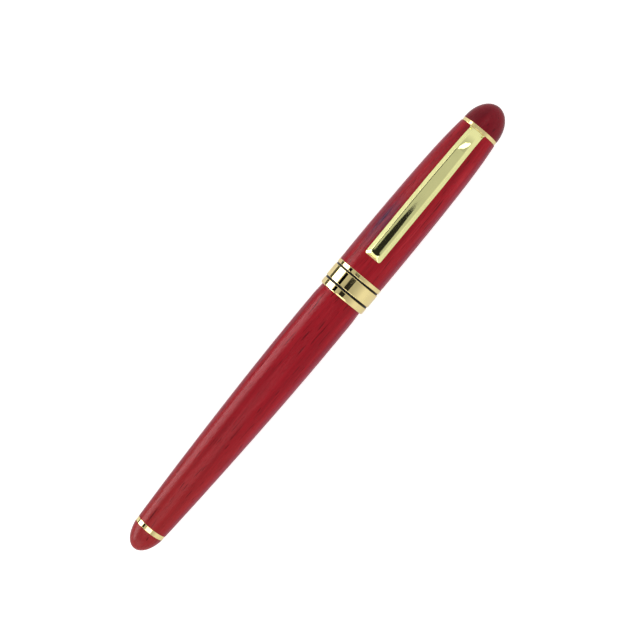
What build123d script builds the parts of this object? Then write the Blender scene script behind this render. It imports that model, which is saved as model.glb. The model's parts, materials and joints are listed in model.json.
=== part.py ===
"""Capped rollerball pen with a turned wood body and plated fittings, as separate pieces.

Every piece is drawn about its own axis of turning: the station runs along X from the
barrel's tip to the cap's tip, and the radius stands out from the axis. The finished pieces
are then placed with the middle of the pen over the origin, the cap towards +X, the clip up
(+Z) and the widest band resting on the plane z = 0. All sizes are in millimetres.
"""

from build123d import *

import os
from math import asin, degrees

# The whole pen
LENGTH = 140.0
AXIS_HEIGHT = 6.52

# Barrel stations
BARREL_FINIAL_END = 5.84
BARREL_RING_END = 7.17
BARREL_PLUG_END = 9.2
LINER_END = 71.4
WOOD_NECK_START = 76.6
CAP_LIP = 79.8
BARREL_WOOD_END = 80.4
BARREL_MOUTH = 81.2

# Barrel radii
BARREL_FINIAL_HALF_LENGTH = 7.5
BARREL_FINIAL_RADIUS = 4.22
BARREL_RING_RADIUS = 4.13
BARREL_START_RADIUS = 4.18
BARREL_WIDEST_RADIUS = 6.0
BARREL_NECK_RADIUS = 5.82
LINER_RADIUS = 3.5
LINER_BORE = 3.22
INSERT_RADIUS = 4.75

# Rounding of the plain turned edges
EDGE_ROUNDING = 0.15

# Screw thread between the barrel and the writing section
THREAD_PITCH = 0.75
THREAD_CREST = 3.98
THREAD_ROOT = 3.60
THREAD_CLEARANCE = 0.08
THREAD_CREST_WIDTH = 0.12
THREAD_ROOT_WIDTH = 0.56
THREAD_START = 75.6
THREAD_END = 80.6

# Writing section
SECTION_BORE = 3.25
SECTION_TAIL = 74.4
TRIM_RING_END = 82.2
TRIM_RING_RADIUS = 4.7
SNAP_GROOVE_START = 82.8
SNAP_GROOVE_END = 83.8
SNAP_GROOVE_RADIUS = 4.2
SHOULDER_END = 84.4
CORE_RADIUS = 3.75
GRIP_END = 112.0
GRIP_START_RADIUS = 4.6
GRIP_WAIST_RADIUS = 4.05
GRIP_END_RADIUS = 4.15
NOSE_END = 121.5
NOSE_TIP_RADIUS = 1.75

# Refill and its spring
REFILL_REAR = 12.3
REFILL_RADIUS = 3.05
REFILL_TUBE_BORE = 2.75
REFILL_TUBE_END = 113.0
REFILL_NOSE_END = 118.6
REFILL_NOSE_RADIUS = 2.0
REFILL_PLUG_LENGTH = 3.0
REFILL_FRONT_PLUG_LENGTH = 4.0
FEED_RADIUS = 0.55
FEED_LENGTH_IN_TUBE = 5.0
POINT_START = 118.5
POINT_RADIUS = 1.15
POINT_PLAIN_LENGTH = 2.2
POINT_LIP_RADIUS = 0.42
POINT_LIP_REACH = 0.12
INK_CHANNEL_RADIUS = 0.12
REFILL_TIP = 123.1
BALL_RADIUS = 0.35
SPRING_RADIUS = 2.3
SPRING_WIRE = 0.2
SPRING_TURNS = 3

# Cap stations
LINER_MOUTH = 81.5
CAP_BAND_END = 87.31
CAP_LINER_END = 116.0
CUP_START = 106.0
CUP_END = 128.0
WASHER_START = 131.3
CAP_WOOD_END = 131.9
CAP_RING_END = 132.95

# Cap radii
LIP_RADIUS = 6.43
LIP_BORE = 5.94
LIP_ROUNDING = 0.42
CENTRE_BAND_RADIUS = AXIS_HEIGHT
UPPER_BAND_RADIUS = 6.44
BAND_ROUNDING = 0.12
GROOVE_RADIUS = 6.05
INLAY_RADIUS = 6.28
CAP_LINER_RADIUS = 5.2
CAP_LINER_BORE = 4.9
CAP_RING_RADIUS = 5.03
CAP_FINIAL_RADIUS = 5.05
CAP_WOOD_START_RADIUS = 6.38
CAP_WOOD_END_RADIUS = 5.15
CUP_END_RADIUS = 4.43
EYE_RADIUS = 4.0

# Threaded studs that hold the domed ends, and their holes
STUD_RADIUS = 1.45
STUD_HOLE = 1.5
STUD_SPACE = 0.1
BARREL_STUD_START = 2.9
CAP_STUD_START = 126.3
CAP_STUD_END = 136.4

# The two enamelled grooves of the cap band
LOWER_GROOVE = (81.6, 82.14)
UPPER_GROOVE = (85.74, 86.21)

# Clip
CLIP_TIP = 91.6
CLIP_FULL_WIDTH_STATION = 102.0
CLIP_BEND_STATION = 125.25
CLIP_TIP_HEIGHT = 7.55
CLIP_BEND_HEIGHT = 7.9
CLIP_WIDTH = 4.55
CLIP_ROOT_WIDTH = 4.0
CLIP_PANEL_WIDTH = 2.1
CLIP_DEPTH = 1.1
CLIP_SHEET = 0.6
CLIP_BEND_LENGTH = 6.6
CLIP_BEND_DROP = 4.4
CLIP_END_BEVEL = 1.4
CLIP_END_LIP = 0.25
CLIP_CORNER = 0.65
CLIP_PIVOT = (131.14, 4.95)
CLIP_KNUCKLE = 0.34
CLIP_GAP = 0.05
CLIP_SLOT_FLOOR = 3.3
CLIP_SLOT_SPACE = 0.1


def turned(*edges):
    """Solid turned about the pen's axis from a closed outline of station and radius."""
    return revolve(Plane.XZ * make_face(edges), Axis.X)


def turned_polygon(*points):
    """Turned solid whose outline is a polygon."""
    return turned(Polyline(*points, close=True))


def ring(start, end, inner, outer, rounding=0.0):
    """Turned ring or tube, with its two outer edges rounded when a rounding is given."""
    corners = ((start, inner), (start, outer), (end, outer), (end, inner))
    outline = make_face(Polyline(*corners, close=True))
    if rounding:
        rim = [v for v in outline.vertices() if v.Y > (inner + outer) / 2]
        outline = fillet(rim, rounding)
    return revolve(Plane.XZ * outline, Axis.X)


def rod(start, end, radius):
    """Solid round bar along the axis."""
    return turned_polygon((start, 0), (start, radius), (end, radius), (end, 0))


def side_block(points, width):
    """Block with the given outline in the X-Z plane, centred on the pen's middle plane."""
    return extrude(Plane.XZ * make_face(Polyline(*points, close=True)), width / 2, both=True)


def thread_tool(start, turns, inner, outer, inner_width, outer_width):
    """Helical solid with a trapezoid section, from the inner to the outer radius."""
    path = Helix(THREAD_PITCH, turns * THREAD_PITCH, inner, center=(start, 0, 0), direction=(1, 0, 0))
    begin = path @ 0
    outward = Vector(0, begin.Y, begin.Z).normalized()
    across = Plane(origin=begin, x_dir=outward, z_dir=path % 0)
    depth = outer - inner
    corners = (
        (0, -inner_width / 2),
        (depth, -outer_width / 2),
        (depth, outer_width / 2),
        (0, inner_width / 2),
    )
    return sweep(across * make_face(Polyline(*corners, close=True)), path=path, is_frenet=True)


def ridge_width(radius):
    """Width of the male thread's ridge at a radius, measured along the axis."""
    slope = (THREAD_CREST_WIDTH - THREAD_ROOT_WIDTH) / (THREAD_CREST - THREAD_ROOT)
    return THREAD_ROOT_WIDTH + slope * (radius - THREAD_ROOT)


def male_thread():
    """Threaded stretch of the writing section, a bar with one helical groove cut in it."""
    outer = THREAD_CREST + THREAD_CLEARANCE
    turns = (THREAD_END - THREAD_START) / THREAD_PITCH + 2
    groove = thread_tool(
        THREAD_START - THREAD_PITCH / 2,
        turns,
        THREAD_ROOT,
        outer,
        THREAD_PITCH - ridge_width(THREAD_ROOT),
        THREAD_PITCH - ridge_width(outer),
    )
    return ring(THREAD_START, THREAD_END, SECTION_BORE, THREAD_CREST) - groove


def female_thread():
    """Helical groove to cut into the barrel's insert, wider and deeper than the male ridge."""
    outer = THREAD_CREST + THREAD_CLEARANCE
    spare = 1.9 * THREAD_CLEARANCE
    length = BARREL_MOUTH - LINER_END
    return thread_tool(
        THREAD_START - 6 * THREAD_PITCH,
        length / THREAD_PITCH + 2,
        THREAD_ROOT,
        outer,
        ridge_width(THREAD_ROOT) + spare,
        ridge_width(outer) + spare,
    )


# Barrel


def make_barrel_finial():
    """Rounded wooden end of the barrel, an ellipse in outline, drilled for its stud."""
    centre = BARREL_FINIAL_HALF_LENGTH
    dome = turned(
        EllipticalCenterArc((centre, 0), centre, BARREL_FINIAL_RADIUS, start_angle=90, arc_size=90),
        Line((0, 0), (centre, 0)),
        Line((centre, 0), (centre, BARREL_FINIAL_RADIUS)),
    )
    trimmed = dome & rod(0, BARREL_FINIAL_END, BARREL_FINIAL_RADIUS + 1)
    return trimmed - rod(BARREL_STUD_START - STUD_SPACE, BARREL_FINIAL_END, STUD_HOLE)


def make_barrel_wood_sleeve():
    """Wooden barrel: a long taper, necked where the cap's lip goes over it."""
    shoulder_radius = BARREL_WIDEST_RADIUS - 0.02
    neck_start = CAP_LIP - 0.3
    taper = Spline(
        (BARREL_RING_END, BARREL_START_RADIUS),
        (20, 4.79),
        (40, 5.51),
        (60, 5.94),
        (70, BARREL_WIDEST_RADIUS),
        (WOOD_NECK_START, shoulder_radius),
    )
    neck = Spline(
        (WOOD_NECK_START, shoulder_radius),
        (neck_start, BARREL_NECK_RADIUS),
        tangents=((1, -0.01), (1, -0.03)),
    )
    rest = Polyline(
        (neck_start, BARREL_NECK_RADIUS),
        (BARREL_WOOD_END, BARREL_NECK_RADIUS),
        (BARREL_WOOD_END, INSERT_RADIUS),
        (LINER_END, INSERT_RADIUS),
        (LINER_END, LINER_RADIUS),
        (BARREL_RING_END, LINER_RADIUS),
        (BARREL_RING_END, BARREL_START_RADIUS),
    )
    return turned(taper, neck, rest)


def make_barrel_end_plug():
    """Brass plug in the closed end of the liner: it takes the stud and seats the spring."""
    plug = rod(BARREL_RING_END, BARREL_PLUG_END, LINER_RADIUS)
    return plug - rod(BARREL_RING_END, BARREL_PLUG_END, STUD_HOLE)


def make_barrel_thread_insert():
    """Brass mouth of the barrel: a threaded bush with a flange over the end of the wood."""
    relief_length = 0.8
    relief_radius = THREAD_CREST + 0.17
    bore = THREAD_ROOT + THREAD_CLEARANCE
    body = ring(LINER_END, BARREL_WOOD_END, bore, INSERT_RADIUS)
    flange = ring(BARREL_WOOD_END, BARREL_MOUTH, bore, BARREL_NECK_RADIUS - 0.03, EDGE_ROUNDING)
    relief = rod(BARREL_MOUTH - relief_length, BARREL_MOUTH, relief_radius)
    return body + flange - relief - female_thread()


def make_refill_spring():
    """Short compression spring between the end plug and the back of the refill."""
    start = BARREL_PLUG_END + SPRING_WIRE
    length = REFILL_REAR - BARREL_PLUG_END - 2 * SPRING_WIRE
    path = Helix(
        length / SPRING_TURNS, length, SPRING_RADIUS, center=(start, 0, 0), direction=(1, 0, 0)
    )
    return sweep(Plane(origin=path @ 0, z_dir=path % 0) * Circle(SPRING_WIRE), path=path)


# Writing section


def make_grip_core():
    """Brass core of the section: pilot, thread, undercut, shoulder and the tube under the grip."""
    plain_radius = THREAD_ROOT - 0.05
    seat_radius = THREAD_CREST - 0.03
    pilot = ring(SECTION_TAIL, THREAD_START, SECTION_BORE, plain_radius)
    undercut = ring(THREAD_END, BARREL_MOUTH, SECTION_BORE, plain_radius)
    seat = ring(BARREL_MOUTH, TRIM_RING_END, SECTION_BORE, seat_radius)
    shoulder = ring(TRIM_RING_END, SHOULDER_END, SECTION_BORE, TRIM_RING_RADIUS)
    groove = ring(SNAP_GROOVE_START, SNAP_GROOVE_END, SNAP_GROOVE_RADIUS, TRIM_RING_RADIUS + 1)
    tube = ring(SHOULDER_END, GRIP_END, SECTION_BORE, CORE_RADIUS)
    return pilot + male_thread() + undercut + seat + (shoulder - groove) + tube


def make_grip_sleeve():
    """Black grip: tapers to a waist for the fingers and flares a little at the nose."""
    outside = Spline(
        (SHOULDER_END, GRIP_START_RADIUS),
        (93, 4.36),
        (104, GRIP_WAIST_RADIUS),
        (GRIP_END, GRIP_END_RADIUS),
    )
    rest = Polyline(
        (GRIP_END, GRIP_END_RADIUS),
        (GRIP_END, CORE_RADIUS),
        (SHOULDER_END, CORE_RADIUS),
        (SHOULDER_END, GRIP_START_RADIUS),
    )
    return turned(outside, rest)


def make_nose_cone():
    """Plated nose: a cone with a stop for the refill and a hole for its point."""
    rim_radius = GRIP_END_RADIUS - 0.03
    chamfer = 0.3
    lip_bore = POINT_RADIUS + 0.12
    stop_bore = REFILL_NOSE_RADIUS + 0.1
    outside = Spline((GRIP_END, rim_radius), (116.5, 3.55), (NOSE_END - chamfer, NOSE_TIP_RADIUS))
    rest = Polyline(
        (NOSE_END - chamfer, NOSE_TIP_RADIUS),
        (NOSE_END, NOSE_TIP_RADIUS - chamfer),
        (NOSE_END, lip_bore),
        (REFILL_NOSE_END + chamfer, lip_bore),
        (REFILL_NOSE_END, stop_bore),
        (REFILL_TUBE_END + chamfer, stop_bore),
        (REFILL_TUBE_END, SECTION_BORE),
        (GRIP_END, SECTION_BORE),
        (GRIP_END, rim_radius),
    )
    return turned(outside, rest)


# Refill


def make_refill_nose():
    """Stepped plastic front of the refill, which holds the feed and the metal point."""
    feed_bore = FEED_RADIUS + 0.05
    plug_start = REFILL_TUBE_END - REFILL_FRONT_PLUG_LENGTH
    plug = ring(plug_start, REFILL_TUBE_END, feed_bore, REFILL_TUBE_BORE)
    nose = ring(
        REFILL_TUBE_END, POINT_START, feed_bore, REFILL_NOSE_RADIUS, 2 * EDGE_ROUNDING
    )
    return plug + nose


def make_refill_point():
    """Metal point: a short cone whose end is closed round the ball."""
    ball_centre = REFILL_TIP - BALL_RADIUS
    socket_radius = BALL_RADIUS + 0.02
    lip = ball_centre + POINT_LIP_REACH
    point = turned_polygon(
        (POINT_START, 0),
        (POINT_START, POINT_RADIUS),
        (POINT_START + POINT_PLAIN_LENGTH, POINT_RADIUS),
        (lip, POINT_LIP_RADIUS),
        (lip, 0),
    )
    channel = rod(POINT_START, ball_centre, INK_CHANNEL_RADIUS)
    return point - channel - Pos(ball_centre, 0, 0) * Sphere(socket_radius)


# Cap


def make_cap_wood_sleeve():
    """Wooden cap: nearly straight, then tapering to the finial, with a seat for the clip."""
    outside = Spline(
        (CAP_BAND_END, CAP_WOOD_START_RADIUS),
        (95, 6.40),
        (110, 6.26),
        (120, 6.01),
        (126, 5.71),
        (CAP_WOOD_END, CAP_WOOD_END_RADIUS),
    )
    eye_seat = EYE_RADIUS + 0.05
    stud_passage = STUD_HOLE + 0.3
    cup_bore = CUP_END_RADIUS + 0.02
    rest = Polyline(
        (CAP_WOOD_END, CAP_WOOD_END_RADIUS),
        (CAP_WOOD_END, eye_seat),
        (WASHER_START, eye_seat),
        (WASHER_START, stud_passage),
        (CUP_END, stud_passage),
        (CUP_END, cup_bore),
        (CAP_LINER_END, cup_bore),
        (CAP_LINER_END, CAP_LINER_RADIUS),
        (CAP_BAND_END, CAP_LINER_RADIUS),
        (CAP_BAND_END, CAP_WOOD_START_RADIUS),
    )
    return turned(outside, rest) - clip_slot()


def clip_slot():
    """Notch in the end of the cap's wood where the clip's root goes down to its eye."""
    rear_top = 130.35
    rear_floor = 130.75
    step_height = 4.4
    above = CAP_WOOD_START_RADIUS + 1
    outline = (
        (rear_top, step_height),
        (rear_floor, CLIP_SLOT_FLOOR),
        (CAP_RING_END, CLIP_SLOT_FLOOR),
        (CAP_RING_END, above),
        (rear_top, above),
    )
    return side_block(outline, CLIP_ROOT_WIDTH + 2 * CLIP_SLOT_SPACE)


def make_cap_inner_cup():
    """Black plastic cup that seals over the point and takes the finial's stud."""
    outside_wide = CAP_LINER_BORE - 0.02
    mouth_radius = CUP_END_RADIUS - 0.01
    cup = turned_polygon(
        (CUP_START, mouth_radius),
        (CUP_START, outside_wide),
        (CAP_LINER_END, outside_wide),
        (CAP_LINER_END, CUP_END_RADIUS),
        (CUP_END, CUP_END_RADIUS),
        (CUP_END, 0),
        (125.4, 0),
        (124.6, 2.4),
        (121.5, 3.6),
        (115.0, 4.3),
    )
    return cup - rod(CAP_STUD_START - STUD_SPACE, CUP_END, STUD_HOLE)


def make_cap_band():
    """One turned brass piece: the cap's lip, the wide centre band and the upper ring."""
    low_start, low_end = LOWER_GROOVE
    high_start, high_end = UPPER_GROOVE
    outline = make_face(
        Polyline(
            (CAP_LIP, LIP_BORE),
            (CAP_LIP, LIP_RADIUS),
            (low_start, LIP_RADIUS),
            (low_start, GROOVE_RADIUS),
            (low_end, GROOVE_RADIUS),
            (low_end, CENTRE_BAND_RADIUS),
            (high_start, CENTRE_BAND_RADIUS),
            (high_start, GROOVE_RADIUS),
            (high_end, GROOVE_RADIUS),
            (high_end, UPPER_BAND_RADIUS),
            (CAP_BAND_END, UPPER_BAND_RADIUS),
            (CAP_BAND_END, CAP_LINER_RADIUS),
            (LINER_MOUTH, CAP_LINER_RADIUS),
            (LINER_MOUTH, LIP_BORE),
            close=True,
        )
    )
    rims = [v for v in outline.vertices() if v.Y > INLAY_RADIUS]
    lip = min(rims, key=lambda v: v.X)
    outline = fillet(lip, LIP_ROUNDING)
    others = [v for v in outline.vertices() if v.Y > INLAY_RADIUS and v.X > low_start - 0.1]
    return revolve(Plane.XZ * fillet(others, BAND_ROUNDING), Axis.X)


def make_cap_finial():
    """Rounded wooden end of the cap, half an ellipse in outline, drilled for its stud."""
    height = LENGTH - CAP_RING_END
    dome = turned(
        EllipticalCenterArc((CAP_RING_END, 0), height, CAP_FINIAL_RADIUS, start_angle=0, arc_size=90),
        Line((CAP_RING_END, CAP_FINIAL_RADIUS), (CAP_RING_END, 0)),
        Line((CAP_RING_END, 0), (LENGTH, 0)),
    )
    return dome - rod(CAP_RING_END, CAP_STUD_END + STUD_SPACE, STUD_HOLE)


def make_cap_snap_ring():
    """Split spring ring in the section's groove, which grips the inside of the cap's liner."""
    gap = 0.05
    split_width = 2.4
    hoop = ring(
        SNAP_GROOVE_START + gap,
        SNAP_GROOVE_END - gap,
        SNAP_GROOVE_RADIUS + gap,
        CAP_LINER_BORE - gap,
        EDGE_ROUNDING,
    )
    middle = (SNAP_GROOVE_START + SNAP_GROOVE_END) / 2
    return hoop - Pos(middle, 0, -SNAP_GROOVE_RADIUS) * Box(2, split_width, 2)


# Clip


def panel_height(station):
    """Height of the clip's outer panel above the axis, along its straight arm."""
    share = (station - CLIP_TIP) / (CLIP_BEND_STATION - CLIP_TIP)
    return CLIP_TIP_HEIGHT + share * (CLIP_BEND_HEIGHT - CLIP_TIP_HEIGHT)


def arm_section(station, width, inset):
    """Trapezoid across the arm: a flat panel with a sloping flank on each side."""
    across = Plane(origin=(station, 0, panel_height(station)), x_dir=(0, 1, 0), z_dir=(1, 0, 0))
    panel = CLIP_PANEL_WIDTH / 2 - 0.4 * inset
    foot = width / 2 - 1.4 * inset
    corners = ((-panel, -inset), (-foot, -CLIP_DEPTH), (foot, -CLIP_DEPTH), (panel, -inset))
    return across * make_face(Polyline(*corners, close=True))


def arm_solid(tip, root, inset):
    """The arm's outer shape, or with an inset the hollow under it."""
    near = loft(
        [
            arm_section(tip, CLIP_WIDTH, inset),
            arm_section(CLIP_FULL_WIDTH_STATION, CLIP_WIDTH, inset),
        ],
        ruled=True,
    )
    far = loft(
        [
            arm_section(CLIP_FULL_WIDTH_STATION, CLIP_WIDTH, inset),
            arm_section(root, CLIP_ROOT_WIDTH, inset),
        ],
        ruled=True,
    )
    return near + far


def bend_line(length, drop):
    """Quarter ellipse of the bend, from its top down to the height of the pivot."""
    height = CLIP_PIVOT[1] - (CLIP_BEND_HEIGHT - CLIP_BEND_DROP)
    centre = (CLIP_BEND_STATION, CLIP_BEND_HEIGHT - CLIP_BEND_DROP)
    low = degrees(asin(height / drop))
    return EllipticalCenterArc(centre, length, drop, start_angle=low, arc_size=90 - low)


def make_clip_bend():
    """The arm's root: a strip bent over and down to the pivot."""
    outer = bend_line(CLIP_BEND_LENGTH, CLIP_BEND_DROP)
    inner = bend_line(CLIP_BEND_LENGTH - CLIP_SHEET, CLIP_BEND_DROP - CLIP_SHEET)
    outline = make_face([outer, inner, Line(outer @ 0, inner @ 0), Line(outer @ 1, inner @ 1)])
    return extrude(Plane.XZ * outline, CLIP_ROOT_WIDTH / 2, both=True)


def knuckle_rod(radius, width):
    """Round bar across the pen at the clip's pivot."""
    pivot_station, pivot_height = CLIP_PIVOT
    return Pos(pivot_station, 0, pivot_height) * Rot(90, 0, 0) * Cylinder(radius, width)


def make_clip_arm():
    """Pressed spring clip: a hollow trapezoid arm, rounded over to a knuckle at its root."""
    lip_height = panel_height(CLIP_TIP) - CLIP_DEPTH + CLIP_END_LIP
    bevel_end = CLIP_TIP + CLIP_END_BEVEL
    arm = arm_solid(CLIP_TIP, CLIP_BEND_STATION, 0)
    end_edges = arm.edges().filter_by(lambda e: e.center().X < CLIP_TIP + 0.01)
    corners = end_edges.filter_by(lambda e: abs(e.center().Y) > CLIP_PANEL_WIDTH / 2 + 0.1)
    arm = fillet(corners, CLIP_CORNER)
    bevel = side_block(
        (
            (CLIP_TIP - 1, lip_height),
            (CLIP_TIP, lip_height),
            (bevel_end, panel_height(bevel_end)),
            (bevel_end, CLIP_BEND_HEIGHT + 1),
            (CLIP_TIP - 1, CLIP_BEND_HEIGHT + 1),
        ),
        CLIP_WIDTH + 1,
    )
    end_wall = 2.2
    hollow = arm_solid(CLIP_TIP + end_wall, CLIP_BEND_STATION - CLIP_SHEET, CLIP_SHEET - 0.1)
    return arm - bevel - hollow + make_clip_bend() + knuckle_rod(CLIP_KNUCKLE, CLIP_ROOT_WIDTH)


def make_clip_mount_ring():
    """Eye of the clip under the finial ring, with the tab that carries the clip's knuckle."""
    pivot_station, pivot_height = CLIP_PIVOT
    eye = ring(WASHER_START, CAP_WOOD_END, STUD_HOLE + STUD_SPACE, EYE_RADIUS)
    tab_start = pivot_station - CLIP_SHEET / 2
    tab_top = pivot_height - 0.15
    inside = EYE_RADIUS - 0.4
    tab = side_block(
        (
            (tab_start, EYE_RADIUS),
            (WASHER_START, inside),
            (CAP_WOOD_END, inside),
            (CAP_WOOD_END, tab_top),
            (tab_start, tab_top),
        ),
        CLIP_ROOT_WIDTH,
    )
    return eye + tab - knuckle_rod(CLIP_KNUCKLE + CLIP_GAP, CLIP_ROOT_WIDTH + 1)


def make_pieces():
    """Every piece of the pen by name, about the axis of turning."""
    pieces = {
        "barrel_finial": make_barrel_finial(),
        "barrel_end_stud": rod(BARREL_STUD_START, BARREL_PLUG_END - 2 * STUD_SPACE, STUD_RADIUS),
        "barrel_end_ring": ring(
            BARREL_FINIAL_END,
            BARREL_RING_END,
            STUD_HOLE + STUD_SPACE,
            BARREL_RING_RADIUS,
            EDGE_ROUNDING,
        ),
        "barrel_end_plug": make_barrel_end_plug(),
        "barrel_liner": ring(BARREL_PLUG_END, LINER_END, LINER_BORE, LINER_RADIUS),
        "barrel_wood_sleeve": make_barrel_wood_sleeve(),
        "barrel_thread_insert": make_barrel_thread_insert(),
        "refill_spring": make_refill_spring(),
        "grip_trim_ring": ring(
            BARREL_MOUTH, TRIM_RING_END, THREAD_CREST + 0.02, TRIM_RING_RADIUS, EDGE_ROUNDING
        ),
        "grip_core": make_grip_core(),
        "grip_sleeve": make_grip_sleeve(),
        "nose_cone": make_nose_cone(),
        "refill_end_plug": rod(REFILL_REAR, REFILL_REAR + REFILL_PLUG_LENGTH, REFILL_TUBE_BORE),
        "refill_tube": ring(REFILL_REAR, REFILL_TUBE_END, REFILL_TUBE_BORE, REFILL_RADIUS),
        "ink_reservoir": rod(
            REFILL_REAR + REFILL_PLUG_LENGTH + 1.0,
            REFILL_TUBE_END - FEED_LENGTH_IN_TUBE,
            REFILL_TUBE_BORE - 0.05,
        ),
        "ink_feed": rod(REFILL_TUBE_END - FEED_LENGTH_IN_TUBE, POINT_START, FEED_RADIUS),
        "refill_nose": make_refill_nose(),
        "refill_point": make_refill_point(),
        "refill_ball": Pos(REFILL_TIP - BALL_RADIUS, 0, 0) * Sphere(BALL_RADIUS),
        "cap_snap_ring": make_cap_snap_ring(),
        "cap_wood_sleeve": make_cap_wood_sleeve(),
        "cap_liner": ring(LINER_MOUTH, CAP_LINER_END, CAP_LINER_BORE, CAP_LINER_RADIUS),
        "cap_inner_cup": make_cap_inner_cup(),
        "cap_band": make_cap_band(),
        "lower_band_inlay": ring(*LOWER_GROOVE, GROOVE_RADIUS, INLAY_RADIUS),
        "upper_band_inlay": ring(*UPPER_GROOVE, GROOVE_RADIUS, INLAY_RADIUS),
        "clip_mount_ring": make_clip_mount_ring(),
        "clip_arm": make_clip_arm(),
        "cap_finial_ring": ring(
            CAP_WOOD_END, CAP_RING_END, STUD_HOLE + STUD_SPACE, CAP_RING_RADIUS, EDGE_ROUNDING
        ),
        "cap_finial": make_cap_finial(),
        "cap_finial_stud": rod(CAP_STUD_START, CAP_STUD_END, STUD_RADIUS),
    }
    return pieces


def main():
    os.makedirs("parts", exist_ok=True)
    place = Pos(-LENGTH / 2, 0, AXIS_HEIGHT)
    for name, piece in make_pieces().items():
        export_step(place * piece, f"parts/{name}.step")
        print(name, round(piece.volume, 2))


main()
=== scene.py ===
"""Looks of the capped rollerball pen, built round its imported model. Lengths are in metres."""

import json
import math

import bmesh
import bpy
from mathutils import Matrix, Vector


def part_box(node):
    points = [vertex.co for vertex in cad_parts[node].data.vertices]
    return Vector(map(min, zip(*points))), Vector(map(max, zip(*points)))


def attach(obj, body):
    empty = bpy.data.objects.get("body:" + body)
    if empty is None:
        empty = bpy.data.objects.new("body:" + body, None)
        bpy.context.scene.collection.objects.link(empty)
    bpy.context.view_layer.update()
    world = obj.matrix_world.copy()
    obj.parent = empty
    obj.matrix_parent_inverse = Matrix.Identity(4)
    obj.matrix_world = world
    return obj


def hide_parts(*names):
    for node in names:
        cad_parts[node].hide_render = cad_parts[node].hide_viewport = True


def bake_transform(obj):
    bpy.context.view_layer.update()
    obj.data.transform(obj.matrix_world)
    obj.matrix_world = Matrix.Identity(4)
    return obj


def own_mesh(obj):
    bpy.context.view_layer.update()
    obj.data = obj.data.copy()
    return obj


MM = 0.001

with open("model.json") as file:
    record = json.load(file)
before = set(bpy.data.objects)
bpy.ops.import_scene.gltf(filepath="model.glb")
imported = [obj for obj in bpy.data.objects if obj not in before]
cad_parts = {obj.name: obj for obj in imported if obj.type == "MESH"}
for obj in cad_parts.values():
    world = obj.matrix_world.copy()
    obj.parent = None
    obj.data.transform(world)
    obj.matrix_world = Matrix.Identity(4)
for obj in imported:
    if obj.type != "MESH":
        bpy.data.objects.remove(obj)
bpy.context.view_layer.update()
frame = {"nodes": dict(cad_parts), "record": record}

# The pen's axis lies along X at this height
AXIS_Z = sum(corner.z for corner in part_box("cap_band")) / 2


def start_of(node):
    """Station where a CAD node begins, on the barrel's side."""
    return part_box(node)[0].x


# Materials


class Graph:
    """A material and short ways to add nodes to it."""

    def __init__(self, name):
        self.material = bpy.data.materials.new(name)
        self.material.use_nodes = True
        self.tree = self.material.node_tree
        self.shader = self.tree.nodes["Principled BSDF"]
        self.place = self.tree.nodes.new("ShaderNodeTexCoord").outputs["Object"]

    def connect(self, socket, value):
        if isinstance(value, bpy.types.NodeSocket):
            self.tree.links.new(value, socket)
        else:
            socket.default_value = value

    def node(self, kind, output, inputs, **settings):
        made = self.tree.nodes.new(kind)
        for key, value in settings.items():
            setattr(made, key, value)
        for key, value in inputs.items():
            self.connect(made.inputs[key], value)
        return made.outputs[output]

    def surface(self, **values):
        for key, value in values.items():
            self.connect(self.shader.inputs[key.replace("_", " ")], value)

    def scaled(self, along, across):
        """Object position with its own scale along the pen and across it."""
        return self.node(
            "ShaderNodeMapping", "Vector", {"Vector": self.place, "Scale": (along, across, across)}
        )

    def noise(self, along, across, detail=3.0, roughness=0.5, distortion=0.0):
        """Noise whose features are 1/along metres long and 1/across metres wide."""
        return self.node(
            "ShaderNodeTexNoise",
            "Fac",
            {
                "Vector": self.scaled(along, across),
                "Scale": 1.0,
                "Detail": detail,
                "Roughness": roughness,
                "Distortion": distortion,
            },
        )

    def ramp(self, factor, *stops):
        """Colour ramp with (position, colour) stops."""
        made = self.tree.nodes.new("ShaderNodeValToRGB")
        self.connect(made.inputs["Fac"], factor)
        elements = made.color_ramp.elements
        while len(elements) < len(stops):
            elements.new(0.5)
        for element, (position, colour) in zip(elements, stops):
            element.position = position
            element.color = colour if len(colour) == 4 else (*colour, 1.0)
        return made.outputs["Color"]

    def remap(self, value, low, high, new_low, new_high):
        """Value stretched from one range to another, and held inside it."""
        return self.node(
            "ShaderNodeMapRange",
            "Result",
            {
                "Value": value,
                "From Min": low,
                "From Max": high,
                "To Min": new_low,
                "To Max": new_high,
            },
        )

    def maths(self, operation, first, second):
        made = self.tree.nodes.new("ShaderNodeMath")
        made.operation = operation
        self.connect(made.inputs[0], first)
        self.connect(made.inputs[1], second)
        return made.outputs["Value"]

    def mix(self, factor, first, second, blend_type="MIX"):
        made = self.tree.nodes.new("ShaderNodeMix")
        made.data_type = "RGBA"
        made.blend_type = blend_type
        self.connect(made.inputs["Factor"], factor)
        for socket, value in ((made.inputs[6], first), (made.inputs[7], second)):
            if not isinstance(value, bpy.types.NodeSocket) and len(value) == 3:
                value = (*value, 1.0)
            self.connect(socket, value)
        return made.outputs[2]

    def spot(self, centre, reach):
        """One at a place and fading to nothing over a reach along each axis."""
        moved = self.node(
            "ShaderNodeVectorMath",
            "Vector",
            {0: self.place, 1: tuple(-c for c in centre)},
            operation="ADD",
        )
        scaled = self.node(
            "ShaderNodeVectorMath",
            "Vector",
            {0: moved, 1: tuple(1 / r for r in reach)},
            operation="MULTIPLY",
        )
        distance = self.node("ShaderNodeVectorMath", "Value", {0: scaled}, operation="LENGTH")
        return self.remap(distance, 0.2, 1.0, 1.0, 0.0)

    def bump(self, height, strength, distance):
        return self.node(
            "ShaderNodeBump",
            "Normal",
            {"Height": height, "Strength": strength, "Distance": distance},
        )


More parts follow.
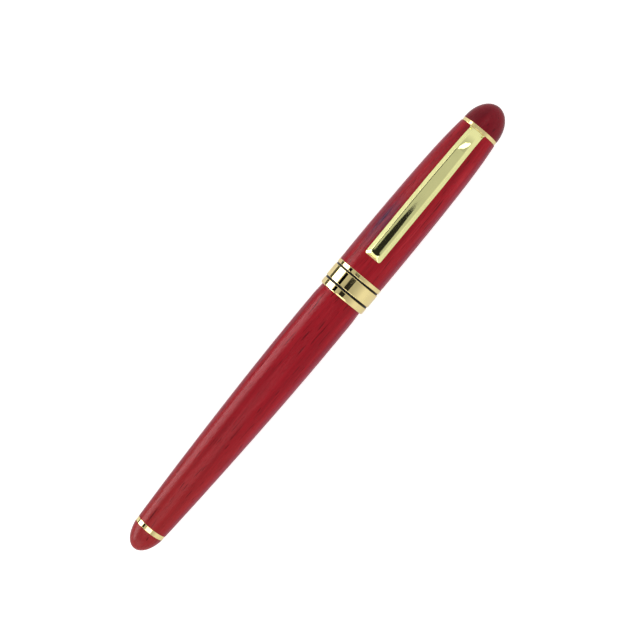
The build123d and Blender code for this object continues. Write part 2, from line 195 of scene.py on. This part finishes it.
def grain(graph, along, dark, middle, light, brown):
    """Streaks and drift of tone, browner towards the barrel's end."""
    streaks = graph.noise(55, 800, detail=5.0, roughness=0.55, distortion=0.4)
    drift = graph.noise(16, 240, detail=2.0, distortion=0.8)
    tone = graph.maths("MULTIPLY", graph.maths("ADD", streaks, drift), 0.5)
    spread = graph.remap(along, 0.0, 25 * MM, 0.75, 1.0)
    departure = graph.maths("MULTIPLY", graph.maths("SUBTRACT", tone, 0.5), spread)
    tone = graph.maths("ADD", departure, 0.5)
    colour = graph.ramp(tone, (0.34, dark), (0.5, middle), (0.66, light))
    browned = graph.remap(along, -20 * MM, -65 * MM, 0.0, 0.5)
    return graph.mix(browned, colour, brown), streaks


def flame(graph, colour, purple):
    """The dark purple flame in the cap's wood, beside the clip."""
    place = graph.spot(FLAME_PLACE, FLAME_REACH)
    streaks = graph.noise(120, 1500, detail=3.0, roughness=0.6, distortion=1.0)
    strength = graph.maths("MULTIPLY", place, graph.remap(streaks, 0.38, 0.6, 0.45, 1.0))
    return graph.mix(strength, colour, purple)


def wood(name, dark, middle, light, brown, purple, side):
    """Red-dyed rosewood under thin satin lacquer: grain, a dark flame, dashes, pores and painted shade
    along the sides.
    """
    graph = Graph(name)
    along = graph.node("ShaderNodeSeparateXYZ", "X", {"Vector": graph.place})
    colour, streaks = grain(graph, along, dark, middle, light, brown)
    colour = flame(graph, colour, purple)
    hair = graph.noise(110, 3000, detail=3.0, roughness=0.6)
    colour = graph.mix(graph.remap(hair, 0.54, 0.70, 0.0, 0.14), colour, dark)
    dashes = graph.noise(150, 2500, detail=1.0, roughness=0.4, distortion=0.25)
    dash_mask = graph.remap(dashes, 0.66, 0.71, 0.0, 0.75)
    colour = graph.mix(dash_mask, colour, [0.4 * c for c in dark])
    pores = graph.noise(260, 9000, detail=1.0)
    pore_mask = graph.remap(pores, 0.60, 0.68, 0.0, 1.0)
    colour = graph.mix(graph.maths("MULTIPLY", pore_mask, 0.3), colour, [0.3 * c for c in dark])
    # Painted shade: where the surface faces sideways (along Y), the colour turns a darker purple-red,
    # standing in for the dark rim seen at grazing angles.
    normal = graph.node("ShaderNodeTexCoord", "Normal", {})
    across = graph.node("ShaderNodeSeparateXYZ", "Y", {"Vector": normal})
    sideways = graph.maths("ABSOLUTE", across, 0.0)
    colour = graph.mix(graph.remap(sideways, 0.78, 1.0, 0.0, 0.62), colour, side)
    finial_start = start_of("cap_finial")
    cap_end = graph.remap(along, finial_start, finial_start + 0.1 * MM, 0.0, 0.62)
    colour = graph.mix(cap_end, colour, CAP_END_RED)
    grooves = graph.maths("MAXIMUM", pore_mask, dash_mask)
    graph.surface(
        Base_Color=colour,
        Roughness=graph.remap(streaks, 0.3, 0.7, 0.30, 0.22),
        Specular_IOR_Level=0.10,
        Normal=graph.bump(graph.maths("SUBTRACT", 1.0, grooves), 0.25, 0.00002),
        IOR=1.5,
        Coat_Weight=0.05,
        Coat_Roughness=0.12,
        Coat_IOR=1.45,
    )
    return graph.material


def plating(name, colour, roughness=0.028):
    """Polished gold plating with hairlines from handling and a faint waviness."""
    graph = Graph(name)
    cloud = graph.noise(260, 260, detail=3.0)
    hairlines = graph.noise(900, 9000, detail=2.0, distortion=1.2)
    worn = graph.remap(hairlines, 0.62, 0.76, 0.0, 0.06)
    tint = graph.ramp(cloud, (0.35, [0.94 * c for c in colour]), (0.65, colour))
    graph.surface(
        Base_Color=tint,
        Metallic=1.0,
        Roughness=graph.maths("ADD", graph.remap(cloud, 0.3, 0.7, roughness, roughness + 0.02), worn),
        Normal=graph.bump(hairlines, 0.06, 0.00001),
    )
    return graph.material


def metal(name, colour, roughness, turned=1500):
    """Bare metal with fine turning marks round the axis."""
    graph = Graph(name)
    marks = graph.noise(turned * 6, 60, detail=2.0)
    cloud = graph.noise(300, 300, detail=3.0)
    tint = graph.ramp(cloud, (0.3, [0.78 * c for c in colour]), (0.7, colour))
    graph.surface(
        Base_Color=tint,
        Metallic=1.0,
        Roughness=graph.remap(marks, 0.35, 0.65, roughness, roughness + 0.12),
        Normal=graph.bump(marks, 0.18, 0.00001),
    )
    return graph.material


def plastic(name, colour, roughness, texture=0.1, gloss=0.5):
    """Moulded plastic with a fine texture and slightly uneven gloss."""
    graph = Graph(name)
    fine = graph.noise(6000, 6000, detail=2.0)
    cloud = graph.noise(220, 220, detail=3.0)
    tint = graph.ramp(cloud, (0.3, [0.8 * c for c in colour]), (0.7, colour))
    graph.surface(
        Base_Color=tint,
        Roughness=graph.remap(cloud, 0.3, 0.7, roughness, roughness + 0.08),
        Normal=graph.bump(fine, texture, 0.00001),
        Specular_IOR_Level=gloss,
        IOR=1.5,
    )
    return graph.material


GOLD = (0.85, 0.71, 0.33)
CLIP_GOLD = (0.80, 0.785, 0.36)
RED_DARK = (0.25, 0.004, 0.012)
RED_MIDDLE = (0.39, 0.008, 0.018)
RED_LIGHT = (0.50, 0.020, 0.032)
RED_BROWN = (0.40, 0.035, 0.030)
PURPLE = (0.085, 0.020, 0.060)
CAP_END_RED = (0.10, 0.005, 0.013)
# Painted shade colour for the wood's sides, not a colour of the wood itself.
RED_PAINTED_SIDE_SHADE = (0.22, 0.013, 0.058)
FLAME_PLACE = (31.0 * MM, 3.7 * MM, AXIS_Z + 5.0 * MM)
FLAME_REACH = (9.0 * MM, 2.9 * MM, 2.9 * MM)

MATERIALS = {
    "rosewood": wood(
        "rosewood_red", RED_DARK, RED_MIDDLE, RED_LIGHT, RED_BROWN, PURPLE, RED_PAINTED_SIDE_SHADE
    ),
    "polished_gold": plating("gold_plating", GOLD),
    "brass": metal("brass_turned", (0.72, 0.53, 0.23), 0.24),
    "black_enamel": plastic("enamel_black", (0.005, 0.005, 0.005), 0.3, texture=0.03, gloss=0.12),
    "black_resin": plastic("resin_black", (0.010, 0.010, 0.011), 0.22, texture=0.04),
    "cup_plastic": plastic("cup_black", (0.015, 0.015, 0.015), 0.45),
    "steel": metal("steel_zinc", (0.56, 0.56, 0.58), 0.3),
    "spring_steel": metal("steel_spring", (0.60, 0.60, 0.61), 0.18),
    "refill_tube_plastic": plastic("refill_grey", (0.62, 0.63, 0.66), 0.28),
    "refill_plug_plastic": plastic("refill_blue_black", (0.012, 0.018, 0.06), 0.35),
    "ink_fibre": plastic("fibre_inked", (0.008, 0.010, 0.03), 0.85, texture=0.6),
    "nickel_silver": metal("nickel_silver", (0.62, 0.60, 0.55), 0.2),
    "carbide": metal("carbide", (0.30, 0.30, 0.31), 0.08),
}


def paint_cad_nodes():
    """Every CAD node that stays takes the material of its own slot."""
    for row in frame["record"]["subparts"]:
        mesh_object = frame["nodes"][row["node"]]
        mesh_object.data.materials.clear()
        mesh_object.data.materials.append(MATERIALS[row["material_slot"]])


# Clip: one pressed strip, from the eye under the finial ring to the tip

CLIP_SHEET = 0.5 * MM
CLIP_FLANK = 0.98 * MM
CLIP_END_FLANK = 0.95 * MM
CLIP_DEPTH = 1.05 * MM
CLIP_CORNER = 0.65 * MM
CLIP_TIP_INSET = 0.5 * MM
CLIP_BEND_REACH = 6.6 * MM
CLIP_BEND_RADIUS = 9.4 * MM
CLIP_FOLD_RADIUS = 0.35 * MM
CLIP_ROOT_DEPTH = 0.5 * MM
CLIP_ROOT_HALF_WIDTH = 2.0 * MM
CLIP_RISE = 0.35 * MM
CLIP_LEG = 1.4 * MM
CLIP_FULL_WIDTH = 24.0 * MM
SHOULDER_WIDTH = 0.19
SHOULDER_SLOPE = math.tan(math.radians(21))
FLANK_ROUNDING = 0.03
PANEL_WIDTH = 1.03
PANEL_ROWS_END = 1.88
PANEL_EDGE_SLOPE = math.tan(math.radians(3.1))


class ClipLine:
    """Side view of the clip's outer panel: a straight arm, a long bend, a fold and a short leg."""

    def __init__(self):
        arm_low, arm_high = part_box("clip_arm")
        self.half_width = arm_high.y
        self.tip = arm_low.x + CLIP_TIP_INSET
        self.top = arm_high.z
        self.leg = start_of("cap_finial_ring") - 0.04 * MM
        self.bend_start = self.leg - CLIP_BEND_REACH
        slope = math.atan2(CLIP_RISE, self.bend_start - self.tip)
        self.lean = math.asin(CLIP_BEND_REACH / CLIP_BEND_RADIUS)
        arm = math.hypot(self.bend_start - self.tip, CLIP_RISE)
        bend = CLIP_BEND_RADIUS * self.lean
        fold = CLIP_FOLD_RADIUS * (math.pi / 2 - self.lean)
        leg = CLIP_LEG
        self.arm_length = arm
        self.bend_end = arm + bend
        self.length = arm + bend + fold + leg
        self.spans = (
            (arm, -slope, -slope),
            (bend, 0.0, self.lean),
            (fold, self.lean, math.pi / 2),
            (leg, math.pi / 2, math.pi / 2),
        )

    def at(self, along):
        """Point (x, z) and outward normal (x, z) at a length along the line from the tip."""
        x = self.tip
        z = self.top - CLIP_RISE
        for length, first, last in self.spans:
            part = min(max(along, 0.0), length)
            turn = (last - first) / length
            end = first + turn * part
            if turn:
                x += (math.sin(end) - math.sin(first)) / turn
                z += (math.cos(end) - math.cos(first)) / turn
            else:
                x += part * math.cos(end)
                z -= part * math.sin(end)
            if along <= length:
                break
            along -= length
        return (x, z), (math.sin(end), math.cos(end))

    def half_width_at(self, along):
        """The strip is widest near its tip and narrows towards the root."""
        share = (along - CLIP_FULL_WIDTH) / (self.bend_end - CLIP_FULL_WIDTH)
        share = min(1.0, max(0.0, share))
        return self.half_width + share * (CLIP_ROOT_HALF_WIDTH - self.half_width)

    def depth_at(self, along):
        """The flanks grow shallower round the bend."""
        share = min(1.0, max(0.0, (along - self.arm_length) / (self.bend_end - self.arm_length)))
        share = share * share * (3 - 2 * share)
        return CLIP_DEPTH + share * (CLIP_ROOT_DEPTH - CLIP_DEPTH)


def flank_slope(share):
    """How steeply the profile rises at a share of the flank's width in from the foot."""
    flank = CLIP_DEPTH / CLIP_FLANK
    shoulder_end = 1 + SHOULDER_WIDTH
    stops = (
        (1 - FLANK_ROUNDING, flank),
        (1 + FLANK_ROUNDING / 2, SHOULDER_SLOPE),
        (shoulder_end - FLANK_ROUNDING / 2, SHOULDER_SLOPE),
        (shoulder_end + FLANK_ROUNDING / 2, PANEL_EDGE_SLOPE),
        (1 + PANEL_WIDTH, 0.0),
    )
    if share <= stops[0][0]:
        return flank
    for (first, slope), (last, next_slope) in zip(stops, stops[1:]):
        if share <= last:
            return slope + (next_slope - slope) * (share - first) / (last - first)
    return 0.0


def flank_rows():
    """(Share of the flank's width inwards, share of its depth) from the foot to mid panel."""
    places = even_steps(0.0, 1 - FLANK_ROUNDING, 6)
    places += even_steps(1 - FLANK_ROUNDING, 1 + SHOULDER_WIDTH + FLANK_ROUNDING, 18)
    places += even_steps(1 + SHOULDER_WIDTH + FLANK_ROUNDING, PANEL_ROWS_END, 14)
    heights = [0.0]
    for first, last in zip(places, places[1:]):
        rise = flank_slope((first + last) / 2) * (last - first) * CLIP_FLANK
        heights.append(heights[-1] + rise)
    top = heights[-1]
    return [(share, (top - height) / CLIP_DEPTH) for share, height in zip(places, heights)]


def even_steps(start, end, steps):
    """Evenly spaced values from the start up to but without the end."""
    return [start + (end - start) * i / steps for i in range(steps)]


def clip_loop(line, share, depth_share):
    """Points of one U-shaped line round the strip, from the root on one side to the other."""
    side_inset = share * CLIP_FLANK
    tip_inset = share * CLIP_END_FLANK
    corner = min(CLIP_CORNER, max(line.half_width - side_inset, 0.05 * MM))
    half = line.half_width - side_inset
    corner_start = tip_inset + corner
    side = even_steps(line.length, line.bend_end, 12)
    side += even_steps(line.bend_end, line.arm_length, 36)
    side += even_steps(line.arm_length, corner_start, 60)
    outline = [(a, line.half_width_at(a) - side_inset) for a in side]
    for angle in even_steps(0, math.pi / 2, 10):
        outline.append(
            (corner_start - corner * math.sin(angle), half - corner + corner * math.cos(angle))
        )
    for y in even_steps(half - corner, 0, 5):
        outline.append((tip_inset, y))
    mirrored = [(a, -y) for a, y in reversed(outline)]
    points = []
    for along, y in outline + [(tip_inset, 0.0)] + mirrored:
        (x, z), (normal_x, normal_z) = line.at(along)
        drop = depth_share * line.depth_at(along)
        points.append(Vector((x - drop * normal_x, y, z - drop * normal_z)))
    return points


def make_clip(line):
    """The pressed strip as one closed mesh with rounded edges."""
    mesh = bmesh.new()
    loops = [[mesh.verts.new(p) for p in clip_loop(line, *row)] for row in flank_rows()]
    for outer, inner in zip(loops, loops[1:]):
        for i in range(len(outer) - 1):
            mesh.faces.new((outer[i], outer[i + 1], inner[i + 1], inner[i]))
    panel = loops[-1]
    last = len(panel) - 1
    for i in range(last // 2 - 1):
        mesh.faces.new((panel[i], panel[i + 1], panel[last - i - 1], panel[last - i]))
    middle = last // 2
    mesh.faces.new((panel[middle - 1], panel[middle], panel[middle + 1]))
    bmesh.ops.recalc_face_normals(mesh, faces=mesh.faces)
    top_face = max(mesh.faces, key=lambda f: f.calc_center_median().z)
    if top_face.normal.z < 0:
        bmesh.ops.reverse_faces(mesh, faces=mesh.faces)
    strip = object_from(mesh, "clip_strip", plating("clip_plating", CLIP_GOLD))
    thicken = strip.modifiers.new("sheet", "SOLIDIFY")
    thicken.thickness = CLIP_SHEET
    thicken.offset = -1.0
    thicken.use_even_offset = False
    soften = strip.modifiers.new("edges", "BEVEL")
    soften.width = 0.09 * MM
    soften.segments = 2
    soften.limit_method = "ANGLE"
    soften.angle_limit = math.radians(50)
    apply_modifiers(strip)
    return strip


# Mesh helpers


def object_from(mesh, name, material):
    """A linked object from a bmesh, smooth except at sharp corners."""
    data = bpy.data.meshes.new(name)
    mesh.to_mesh(data)
    mesh.free()
    made = bpy.data.objects.new(name, data)
    bpy.context.scene.collection.objects.link(made)
    data.materials.append(material)
    smooth(data)
    return made


def smooth(data, angle=40):
    """Smooth shading that keeps corners over the angle sharp."""
    data.polygons.foreach_set("use_smooth", [True] * len(data.polygons))
    data.set_sharp_from_angle(angle=math.radians(angle))


def apply_modifiers(thing):
    """Replaces an object's mesh by what its modifiers make of it."""
    graph = bpy.context.evaluated_depsgraph_get()
    baked = bpy.data.meshes.new_from_object(thing.evaluated_get(graph))
    thing.modifiers.clear()
    thing.data = baked
    smooth(baked)


# Refill spring

SPRING_WIRE = 0.2 * MM
SPRING_COILS = 5
END_COIL_SHARE = 0.09
COIL_STEPS = 48
WIRE_SIDES = 12


def spring_height(share):
    """Share of the spring's length reached at a share of its turns: the end coils lie closed."""
    end = 1 / SPRING_COILS
    if share < end:
        return END_COIL_SHARE * share / end
    if share > 1 - end:
        return 1 - END_COIL_SHARE * (1 - share) / end
    return END_COIL_SHARE + (1 - 2 * END_COIL_SHARE) * (share - end) / (1 - 2 * end)


def wire_ring(mesh, centre, outwards):
    """Points round the wire at one place of its coil."""
    ring = []
    for turn in even_steps(0.0, 2 * math.pi, WIRE_SIDES):
        spoke = math.cos(turn) * outwards + math.sin(turn) * Vector((1, 0, 0))
        ring.append(mesh.verts.new(centre + SPRING_WIRE * spoke))
    return ring


def make_spring():
    """Coil of round wire between the barrel's plug and the back of the refill."""
    low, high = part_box("refill_spring")
    radius = high.y - SPRING_WIRE
    length = high.x - low.x - 2 * SPRING_WIRE
    mesh = bmesh.new()
    rings = []
    for share in even_steps(0.0, 1.0, COIL_STEPS * SPRING_COILS) + [1.0]:
        angle = 2 * math.pi * SPRING_COILS * share
        outwards = Vector((0, math.cos(angle), math.sin(angle)))
        station = low.x + SPRING_WIRE + length * spring_height(share)
        centre = Vector((station, 0, AXIS_Z)) + radius * outwards
        rings.append(wire_ring(mesh, centre, outwards))
    for first, second in zip(rings, rings[1:]):
        for k in range(WIRE_SIDES):
            n = (k + 1) % WIRE_SIDES
            mesh.faces.new((first[k], first[n], second[n], second[k]))
    mesh.faces.new(rings[0])
    mesh.faces.new(rings[-1])
    bmesh.ops.recalc_face_normals(mesh, faces=mesh.faces)
    spring = object_from(mesh, "refill_coil", MATERIALS["spring_steel"])
    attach(spring, "barrel")
    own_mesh(spring)
    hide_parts("refill_spring")


# Stage

PEN_ROLL = math.radians(39.73)
CAMERA_DISTANCE = 0.49
CAMERA_STATION = 0.024
CAMERA_SIDE = math.radians(3.6)
AIM = Vector((0.00316, 0.0, 0.0))
AIM_SHIFT = (-0.00090, -0.00025)
LENS = 113.0

FLOOR_GLOW = 0.62
BASE_GLOW = 0.22
SKY_TOP = 0.55
TABLE_HALF_SIZE = 3.0


def rectangle(low, high, other_low, other_high):
    """Corners of a rectangle, as pairs."""
    return [(low, other_low), (high, other_low), (high, other_high), (low, other_high)]


def plane_object(name, corners, material):
    """Single flat face through the corners."""
    mesh = bmesh.new()
    mesh.faces.new([mesh.verts.new(corner) for corner in corners])
    made = object_from(mesh, name, material)
    return made


def hide_from_light(thing):
    """The thing is left out of diffuse light and casts no shadow."""
    thing.visible_diffuse = False
    thing.visible_shadow = False
    thing.visible_transmission = False


def make_floor():
    """Pale lit table: the camera sees it glowing, the pen is lit and mirrored by a plain one."""
    for name, depth, glow in (("table_top", 0.0, FLOOR_GLOW), ("table_base", -0.2 * MM, BASE_GLOW)):
        graph = Graph(name)
        cloud = graph.noise(3, 3, detail=2.0)
        graph.surface(
            Base_Color=graph.ramp(cloud, (0.3, (0.92, 0.92, 0.92)), (0.7, (0.95, 0.95, 0.95))),
            Roughness=0.6,
            Specular_IOR_Level=0.1,
            Emission_Color=(1.0, 1.0, 1.0, 1.0),
            Emission_Strength=glow,
        )
        size = TABLE_HALF_SIZE
        corners = [(size, size, depth), (-size, size, depth), (-size, -size, depth), (size, -size, depth)]
        floor = plane_object(name, corners, graph.material)
        if name == "table_top":
            hide_from_light(floor)
            floor.visible_glossy = False
        else:
            floor.visible_camera = False


def card(name, corners, radiance):
    """Flat card seen only in glossy reflections."""
    graph = Graph(name)
    graph.surface(
        Base_Color=(0.0, 0.0, 0.0, 1.0),
        Roughness=1.0,
        Specular_IOR_Level=0.0,
        Emission_Color=(1.0, 1.0, 1.0, 1.0),
        Emission_Strength=radiance,
    )
    made = plane_object(name, corners, graph.material)
    hide_from_light(made)
    made.visible_camera = False


def side_card(name, start, end, radiance, distance, first, last):
    """Long card beside the pen between two directions, in degrees from overhead towards +Y."""
    corners = []
    for x, direction in ((first, start), (first, end), (last, end), (last, start)):
        angle = math.radians(direction)
        corners.append((x, distance * math.sin(angle), AXIS_Z + distance * math.cos(angle)))
    card(name, corners, radiance)


def overhead_card(name, corners, radiance, height=0.6):
    """Card above the pen with the given corners in the X-Y plane."""
    card(name, [(x, y, AXIS_Z + height) for x, y in corners], radiance)


def make_sky():
    """White surroundings that darken towards the zenith."""
    world = bpy.data.worlds.new("studio")
    world.use_nodes = True
    tree = world.node_tree
    direction = tree.nodes.new("ShaderNodeTexCoord")
    parts = tree.nodes.new("ShaderNodeSeparateXYZ")
    tree.links.new(direction.outputs["Generated"], parts.inputs["Vector"])
    level = tree.nodes.new("ShaderNodeMapRange")
    level.inputs["From Min"].default_value = 0.4
    level.inputs["From Max"].default_value = 0.95
    level.inputs["To Min"].default_value = 1.0
    level.inputs["To Max"].default_value = SKY_TOP
    tree.links.new(parts.outputs["Z"], level.inputs["Value"])
    tree.links.new(level.outputs["Result"], tree.nodes["Background"].inputs["Strength"])
    tree.nodes["Background"].inputs["Color"].default_value = (1.0, 1.0, 1.0, 1.0)
    bpy.context.scene.world = world


def shade_corners():
    """The dark shape over the camera: broad over the barrel, with a tongue that ends over the clip."""
    middle = 0.038
    tongue = (
        (0.0095, 0.036),
        (0.022, 0.036),
        (0.030, 0.031),
        (0.037, 0.020),
        (0.0415, 0.009),
        (0.0435, 0.0),
    )
    near_side = [(x, middle - half_width) for x, half_width in tongue]
    far_side = [(x, middle + half_width) for x, half_width in reversed(tongue[:-1])]
    broad_start = [(-0.07, -0.08), (0.0085, -0.08)]
    broad_end = [(0.0085, 0.17), (-0.07, 0.17)]
    return broad_start + near_side + far_side + broad_end


def make_lights():
    """White surroundings, and the cards that the lacquer and the plating mirror."""
    make_sky()
    side_card("softbox_upper", 56.4, 76, 7.0, 0.7, -1.2, 0.03)
    side_card("softbox_cap", 56.4, 76, 3.2, 0.7, 0.03, 0.125)
    side_card("softbox_lower", 76, 91, 8.0, 0.7, -1.2, 0.02)
    side_card("black_card", 36.5, 50.5, 0.0, 0.65, -1.2, 0.105)
    overhead_card("camera_shade", shade_corners(), 0.025)
    overhead_card("ceiling", rectangle(0.009, 0.13, -0.3, 0.3), 0.67, height=0.62)
    overhead_card("barrel_softbox", rectangle(-0.5, -0.085, -0.28, 0.2), 2.6)
    overhead_card(
        "cap_softbox",
        [
            (0.11, 0.085),
            (0.20, 0.095),
            (0.28, 0.085),
            (0.42, 0.063),
            (0.54, 0.030),
            (0.60, 0.0),
            (0.54, -0.018),
            (0.42, -0.018),
            (0.28, 0.010),
            (0.20, 0.037),
        ],
        3.0,
    )
    upright = [(-0.7, y, z) for y, z in rectangle(-0.25, 0.25, 0.05, 0.4)]
    card("end_softbox", upright, 2.6)
    # Painted shadow: a darker strip on the table beside the pen, seen only in the plating's reflections
    # as a thin dark line.
    strip = [(x, y, 0.1 * MM) for x, y in rectangle(-0.4, 0.0195, 0.031, 0.14)]
    card("painted_floor_shadow", strip, 0.12)


def make_camera():
    """Camera over the pen, turned so that the cap end points up and to the right."""
    right = Vector((math.sin(PEN_ROLL), -math.cos(PEN_ROLL), 0))
    up = Vector((math.cos(PEN_ROLL), math.sin(PEN_ROLL), 0))
    target = AIM + Vector((0, 0, AXIS_Z)) + right * AIM_SHIFT[0] + up * AIM_SHIFT[1]
    place = Vector(
        (
            CAMERA_STATION,
            -CAMERA_DISTANCE * math.sin(CAMERA_SIDE),
            AXIS_Z + CAMERA_DISTANCE * math.cos(CAMERA_SIDE),
        )
    )
    back = (place - target).normalized()
    side = up.cross(back).normalized()
    lift = back.cross(side)
    camera_data = bpy.data.cameras.new("camera")
    camera_data.lens = LENS
    camera_data.sensor_width = 36.0
    camera_data.clip_start = 0.01
    camera_data.clip_end = 20
    camera = bpy.data.objects.new("camera", camera_data)
    bpy.context.scene.collection.objects.link(camera)
    camera.matrix_world = Matrix(
        (
            (side.x, lift.x, back.x, place.x),
            (side.y, lift.y, back.y, place.y),
            (side.z, lift.z, back.z, place.z),
            (0, 0, 0, 1),
        )
    )
    bpy.context.scene.camera = camera


def main():
    bpy.context.scene.view_settings.view_transform = "Standard"
    make_camera()
    make_lights()
    make_floor()
    paint_cad_nodes()
    line = ClipLine()
    clip = make_clip(line)
    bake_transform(clip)
    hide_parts("clip_arm")
    make_spring()


main()
